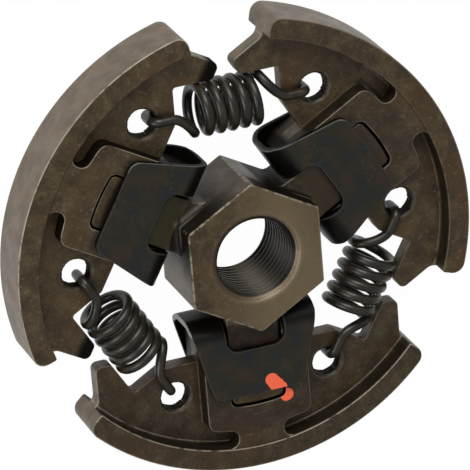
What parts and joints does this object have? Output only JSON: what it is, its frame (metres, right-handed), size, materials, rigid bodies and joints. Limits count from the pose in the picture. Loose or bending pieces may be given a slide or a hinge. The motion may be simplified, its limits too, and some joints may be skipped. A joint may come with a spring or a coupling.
{
  "type": "centrifugal clutch",
  "caption": "Centrifugal clutch with a threaded hexagon hub, curved friction shoes on its arms, folded retaining clips and coil tension springs.",
  "frame": {"origin": "centre of the bore at the hub's back face", "axes": "+Z along the bore axis from the back face toward the raised end of the hexagon, -Y through the middle of the first shoe, +X to the right of it seen from +Z"},
  "size_m": [0.0658, 0.0649, 0.0122],
  "materials": {
    "hub_steel": "oiled sintered steel, olive brown, satin",
    "shoe_steel": "sintered steel, olive brown, matte, worn grey on the friction face",
    "clip_steel": "blackened spring sheet, smooth satin",
    "spring_steel": "oil tempered wire, dark grey, semi-gloss"
  },
  "bodies": {
    "hub_body": {"hub": "hub_steel"},
    "shoe_body_1": {"shoe_1": "shoe_steel", "clip_1": "clip_steel"},
    "shoe_body_2": {"shoe_2": "shoe_steel", "clip_2": "clip_steel"},
    "shoe_body_3": {"shoe_3": "shoe_steel", "clip_3": "clip_steel"},
    "spring_body_1": {"spring_1": "spring_steel"},
    "spring_body_2": {"spring_2": "spring_steel"},
    "spring_body_3": {"spring_3": "spring_steel"}
  },
  "joints": [
    {"name": "shoe_slide_1", "type": "slide", "parent": "hub_body", "child": "shoe_body_1", "axis": [0, -1, 0], "range_m": [0, 0.00125], "stiffness_N_per_m": 1500, "springref_m": -0.002},
    {"name": "shoe_slide_2", "type": "slide", "parent": "hub_body", "child": "shoe_body_2", "axis": [0.866, 0.5, 0], "range_m": [0, 0.00125], "stiffness_N_per_m": 1500, "springref_m": -0.002},
    {"name": "shoe_slide_3", "type": "slide", "parent": "hub_body", "child": "shoe_body_3", "axis": [-0.866, 0.5, 0], "range_m": [0, 0.00125], "stiffness_N_per_m": 1500, "springref_m": -0.002},
    {"name": "spring_stretch_1", "type": "slide", "parent": "shoe_body_1", "child": "spring_body_1", "axis": [0.5, 0.866, 0], "range_m": [0, 0.00217], "deforming": ["spring_1"]},
    {"name": "spring_stretch_2", "type": "slide", "parent": "shoe_body_2", "child": "spring_body_2", "axis": [-1, 0, 0], "range_m": [0, 0.00217], "deforming": ["spring_2"]},
    {"name": "spring_stretch_3", "type": "slide", "parent": "shoe_body_3", "child": "spring_body_3", "axis": [0.5, -0.866, 0], "range_m": [0, 0.00217], "deforming": ["spring_3"]}
  ],
  "couplings": [
    {"joint": "shoe_slide_2", "follows": "shoe_slide_1", "ratio": 1},
    {"joint": "shoe_slide_3", "follows": "shoe_slide_1", "ratio": 1},
    {"joint": "spring_stretch_1", "follows": "shoe_slide_1", "ratio": 1.7321},
    {"joint": "spring_stretch_2", "follows": "shoe_slide_1", "ratio": 1.7321},
    {"joint": "spring_stretch_3", "follows": "shoe_slide_1", "ratio": 1.7321}
  ]
}
